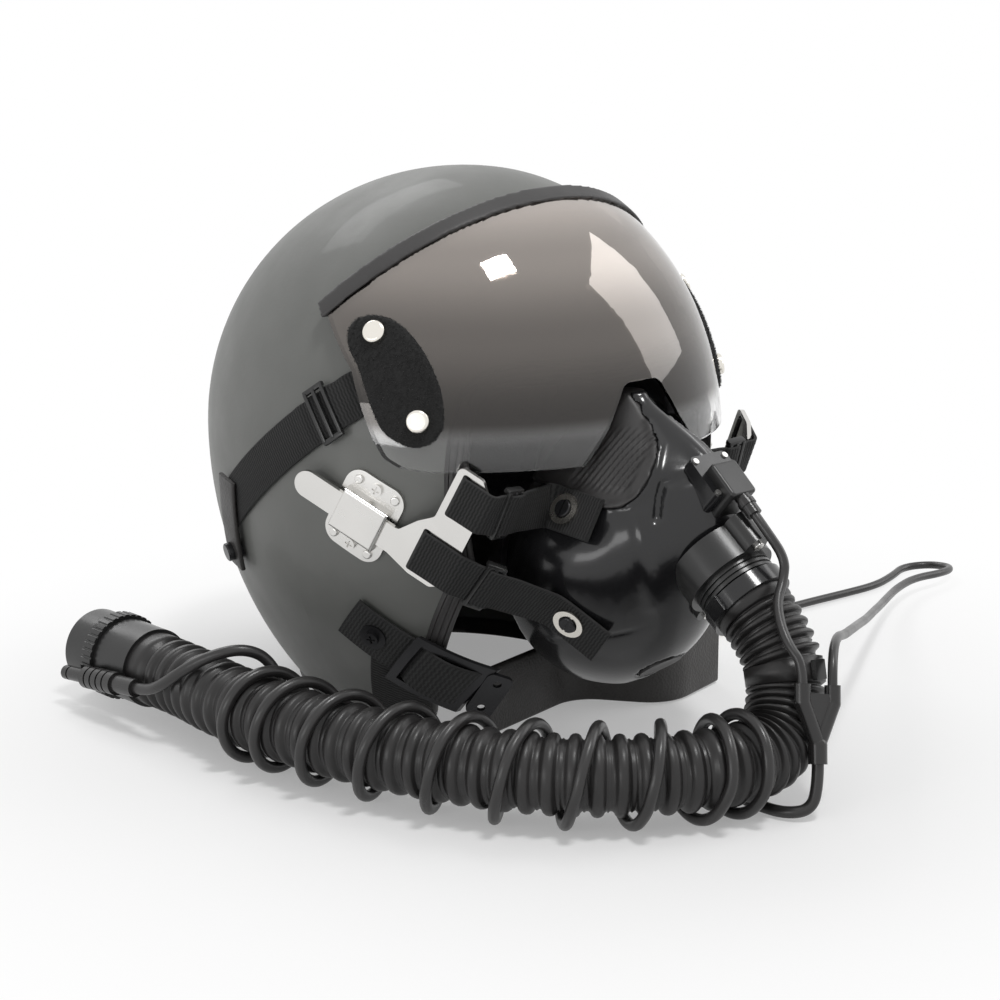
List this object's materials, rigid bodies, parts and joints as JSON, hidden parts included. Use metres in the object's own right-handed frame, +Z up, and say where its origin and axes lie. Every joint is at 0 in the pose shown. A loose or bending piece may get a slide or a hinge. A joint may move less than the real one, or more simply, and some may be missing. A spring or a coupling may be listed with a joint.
{
  "type": "flight_helmet",
  "caption": "Pilot flight helmet with a lift-up visor, a bayonet-fastened oxygen mask, a ribbed breathing hose and a coiled communication lead",
  "frame": {"origin": "middle of the footprint of the helmet with its mask, on the plane it stands on", "axes": "-Y is the way the wearer faces, -X is the wearer's right, +Z is up"},
  "size_m": [0.5205, 0.3993, 0.262],
  "materials": {
    "shell_paint": "semi-matt grey paint with a fine grain",
    "black_rubber": "matt moulded rubber",
    "soft_rubber": "smooth soft rubber with a dull sheen",
    "gloss_rubber": "glossy moulded rubber",
    "cable_rubber": "satin cable jacket, bare of printing",
    "yellow_sleeve": "smooth yellow sleeve",
    "grey_foam": "fine-pored foam",
    "black_leather": "smooth black leather",
    "black_webbing": "ribbed nylon webbing",
    "hook_fabric": "short black pile",
    "black_plastic": "moulded plastic",
    "gloss_shell": "polished black plastic",
    "dark_visor": "dark polished visor",
    "black_steel": "black enamelled steel",
    "satin_steel": "satin stainless steel",
    "bright_steel": "polished stainless steel",
    "nickel": "nickel plated brass"
  },
  "bodies": {
    "helmet": {"shell": "shell_paint", "edge_roll": "black_rubber", "foam_liner": "grey_foam", "crown_pad": "black_leather", "nape_pad": "black_leather", "ear_cups": "black_plastic", "ear_seals": "black_leather", "ear_spacers": "grey_foam", "earphones": "black_plastic", "receiver_plates": "satin_steel", "receiver_channels": "satin_steel", "receiver_rivets": "satin_steel", "receiver_screws": "satin_steel", "visor_strap_right": "black_webbing", "visor_strap_left": "black_webbing", "visor_triglides": "black_steel", "strap_tabs": "black_leather", "tab_snaps": "black_steel", "chin_webbing_right": "black_webbing", "chin_webbing_left": "black_webbing", "chin_screws": "black_steel", "chin_buckles": "black_steel", "chin_band": "black_webbing", "breathing_hose": "black_rubber", "hose_clip": "black_plastic", "hose_connector": "black_plastic", "mic_cable": "cable_rubber", "earphone_cable": "cable_rubber", "cable_sleeve": "yellow_sleeve", "lead_junction": "gloss_rubber", "comm_lead_start": "cable_rubber", "comm_lead_coil": "cable_rubber", "comm_lead_end": "cable_rubber", "comm_plug": "gloss_rubber"},
    "visor": {"visor_lens": "dark_visor", "visor_trim": "black_rubber", "visor_patches": "hook_fabric", "visor_snaps": "nickel"},
    "mask": {"mask_shell": "gloss_shell", "mask_facepiece": "soft_rubber", "hose_flange": "black_plastic", "hose_collar": "black_plastic", "hose_clamp": "gloss_shell", "gauge_plate": "gloss_shell", "mic_housing": "black_plastic", "mask_screws": "satin_steel", "mic_plug": "gloss_rubber", "microphone": "black_plastic", "valve_seat": "black_plastic", "mask_strap_upper_right": "black_webbing", "mask_strap_upper_left": "black_webbing", "mask_strap_lower_right": "black_webbing", "mask_strap_lower_left": "black_webbing", "strap_slides": "black_steel", "strap_eyelets": "nickel", "strap_screws": "black_steel"},
    "bayonet_right": {"bayonet_right": "bright_steel"},
    "bayonet_left": {"bayonet_left": "bright_steel"},
    "exhaust_valve": {"exhaust_valve": "soft_rubber"},
    "connector_ring": {"connector_ring": "black_plastic"}
  },
  "joints": [
    {"name": "visor_lift", "type": "hinge", "parent": "helmet", "child": "visor", "pos_m": [0, 0.03412, 0.135], "axis": [-1, 0, 0], "range_deg": [0, 50], "deforming": ["visor_strap_right", "visor_strap_left"]},
    {"name": "mask_release", "type": "slide", "parent": "helmet", "child": "mask", "axis": [0, -0.8572, -0.515], "range_m": [0, 0.012], "deforming": ["breathing_hose", "mic_cable"]},
    {"name": "bayonet_right_draw", "type": "slide", "parent": "mask", "child": "bayonet_right", "axis": [1, 0, 0], "range_m": [0, 0.0051], "deforming": ["mask_strap_upper_right", "mask_strap_lower_right"]},
    {"name": "bayonet_left_draw", "type": "slide", "parent": "mask", "child": "bayonet_left", "axis": [-1, 0, 0], "range_m": [0, 0.0051], "deforming": ["mask_strap_upper_left", "mask_strap_lower_left"]},
    {"name": "exhaust_valve_lift", "type": "slide", "parent": "mask", "child": "exhaust_valve", "axis": [0, -0.5736, -0.8192], "range_m": [0, 0.002], "stiffness_N_per_m": 60, "springref_m": -0.002},
    {"name": "connector_ring_turn", "type": "hinge", "parent": "helmet", "child": "connector_ring", "pos_m": [-0.1475, 0.1222, 0.0219], "axis": [0, 1, 0], "range_deg": [0, 60]}
  ],
  "couplings": [
    {"joint": "bayonet_right_draw", "follows": "mask_release", "ratio": 0.41996},
    {"joint": "bayonet_left_draw", "follows": "mask_release", "ratio": 0.41996}
  ]
}
